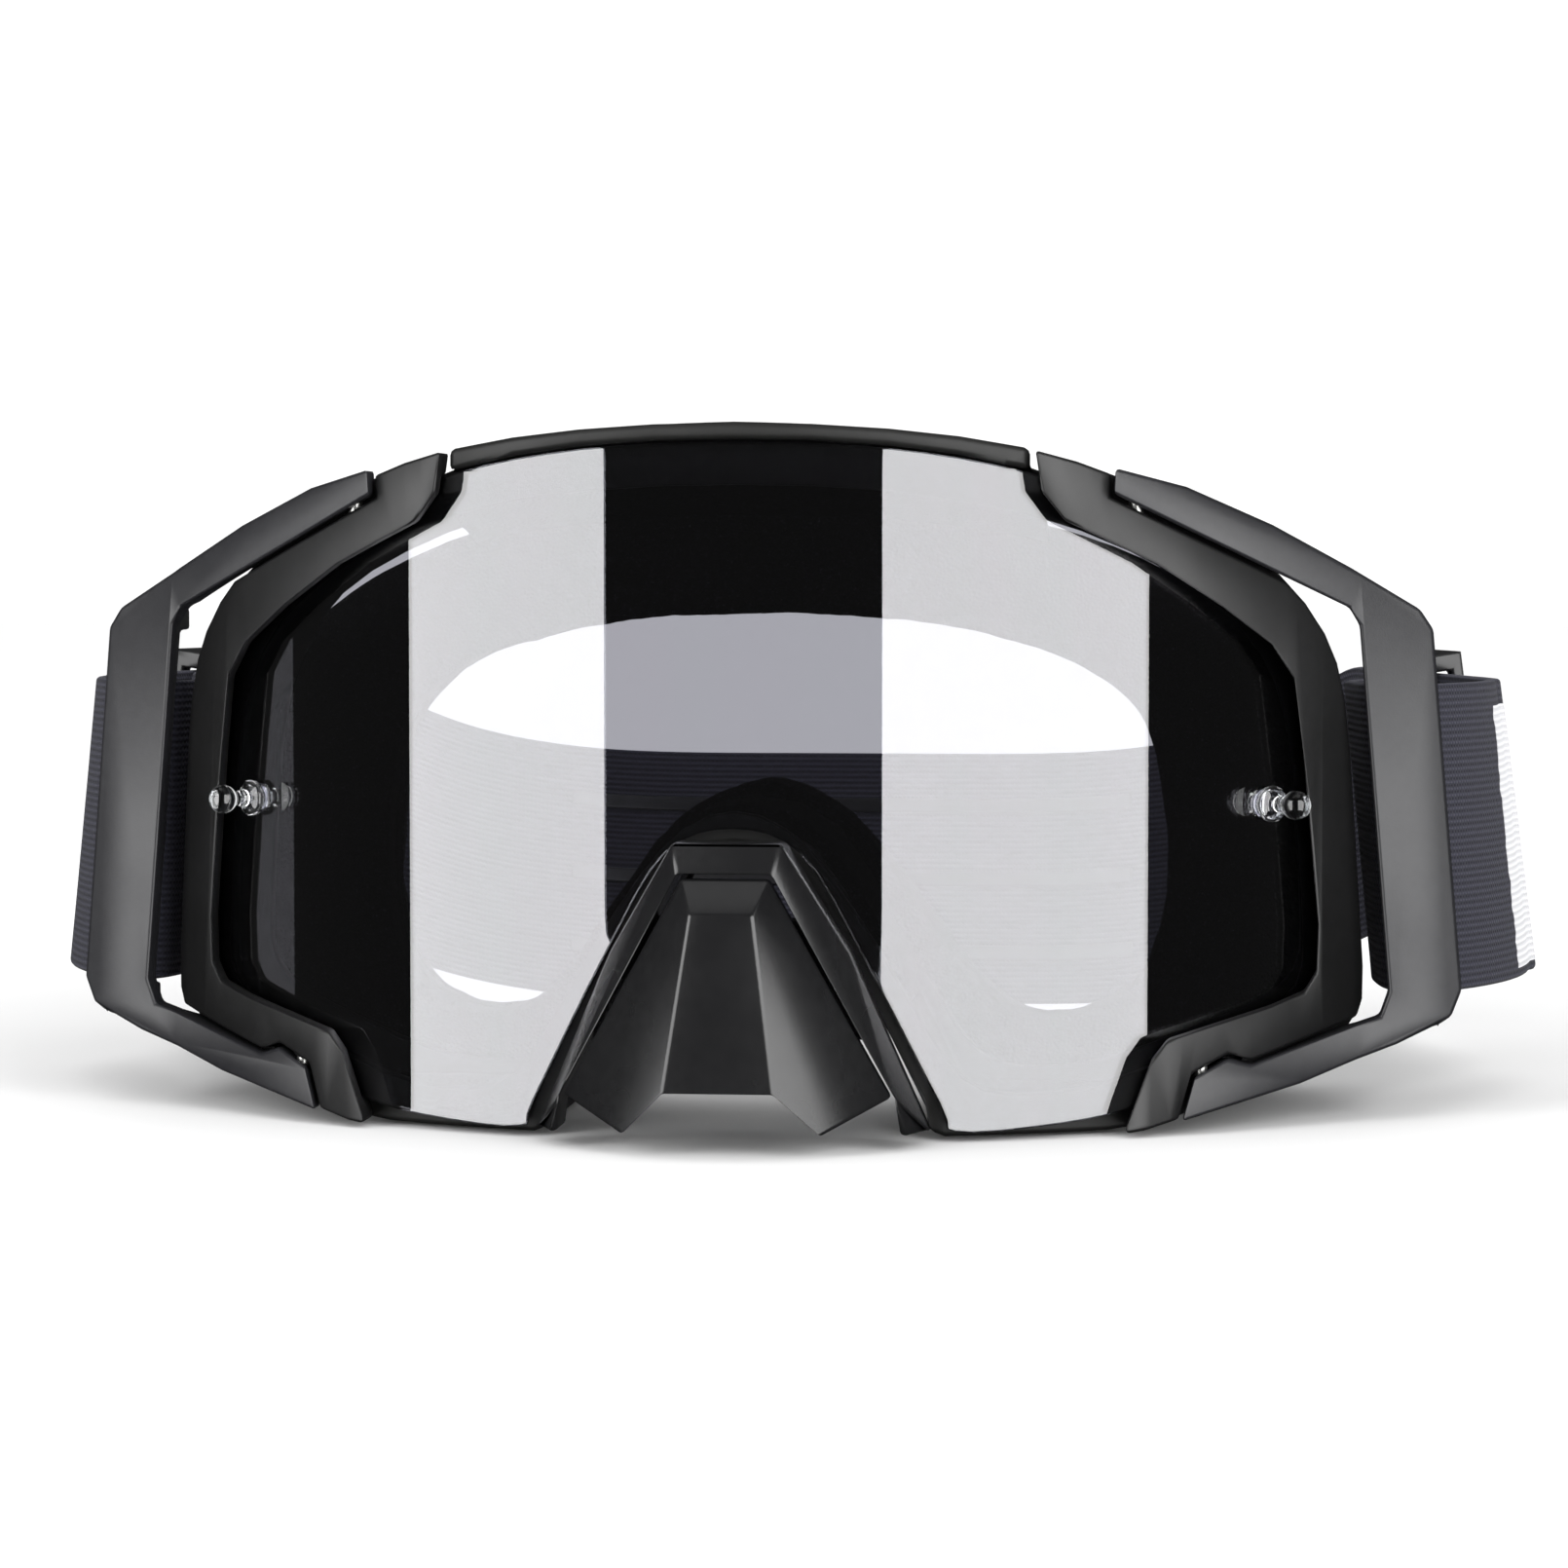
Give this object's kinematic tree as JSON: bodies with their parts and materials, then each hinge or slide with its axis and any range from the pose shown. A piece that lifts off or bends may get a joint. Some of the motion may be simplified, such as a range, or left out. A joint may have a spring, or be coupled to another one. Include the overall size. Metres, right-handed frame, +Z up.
{
  "type": "motorcycle goggles",
  "caption": "Motocross goggles with a cylindrical lens, side covers, faceted nose guard, hinged outriggers, layered face foam and an adjustable elastic strap.",
  "frame": {"origin": "centre of the whole object's outline on the plane it rests on", "axes": "+X towards the wearer's left, +Y from the lens back to the head, +Z up"},
  "size_m": [0.2142, 0.1958, 0.0924],
  "materials": {
    "frame_moulding": "matte flexible polyurethane with a fine spark-eroded grain",
    "lens": "clear polycarbonate with a light smoke tint and a hard coat",
    "gasket": "black closed-cell seal",
    "clear_post": "polished clear polycarbonate",
    "cover_moulding": "satin black nylon",
    "outrigger_moulding": "satin black nylon, slightly lighter",
    "pins": "plain steel",
    "foam": "open-cell polyurethane foam",
    "fleece": "brushed fleece",
    "strap_elastic": "ribbed knitted elastic",
    "slider_moulding": "smooth black acetal",
    "silicone": "satin silicone"
  },
  "bodies": {
    "root": {"frame": "frame_moulding", "lens": "lens", "lens_gasket": "gasket", "tear_off_post_left": "clear_post", "tear_off_post_right": "clear_post", "side_cover_left": "cover_moulding", "side_cover_right": "cover_moulding", "pivot_pins_left": "pins", "pivot_pins_right": "pins", "face_foam_base": "foam", "face_foam_mid": "foam", "face_foam_skin": "fleece", "nose_foam": "foam", "vent_foam_top": "foam", "vent_foam_bottom": "foam", "strap": "strap_elastic", "strap_grip_beads": "silicone"},
    "outrigger_left": {"outrigger_left": "outrigger_moulding", "strap_end_left": "strap_elastic"},
    "outrigger_right": {"outrigger_right": "outrigger_moulding", "strap_end_right": "strap_elastic"},
    "nose_guard": {"nose_guard": "cover_moulding", "nose_guard_plate": "cover_moulding"},
    "strap_slider_left": {"strap_slider_left": "slider_moulding"},
    "strap_slider_right": {"strap_slider_right": "slider_moulding"}
  },
  "joints": [
    {"name": "outrigger_left_hinge", "type": "hinge", "parent": "root", "child": "outrigger_left", "pos_m": [0.0513, -0.06946, 0.082], "axis": [0.1158, 0.0752, -0.9904], "range_deg": [0, 7], "deforming": ["strap_end_left"]},
    {"name": "outrigger_right_hinge", "type": "hinge", "parent": "root", "child": "outrigger_right", "pos_m": [-0.0513, -0.06946, 0.082], "axis": [0.1158, -0.0752, 0.9904], "range_deg": [0, 7], "deforming": ["strap_end_right"]},
    {"name": "nose_guard_pull", "type": "slide", "parent": "root", "child": "nose_guard", "axis": [0, -1, 0], "range_m": [0, 0.025]},
    {"name": "strap_slider_left_slide", "type": "slide", "parent": "root", "child": "strap_slider_left", "axis": [-0.2699, 0.9629, 0], "range_m": [-0.008, 0.008]},
    {"name": "strap_slider_right_slide", "type": "slide", "parent": "root", "child": "strap_slider_right", "axis": [0.2699, 0.9629, 0], "range_m": [-0.008, 0.008]}
  ]
}
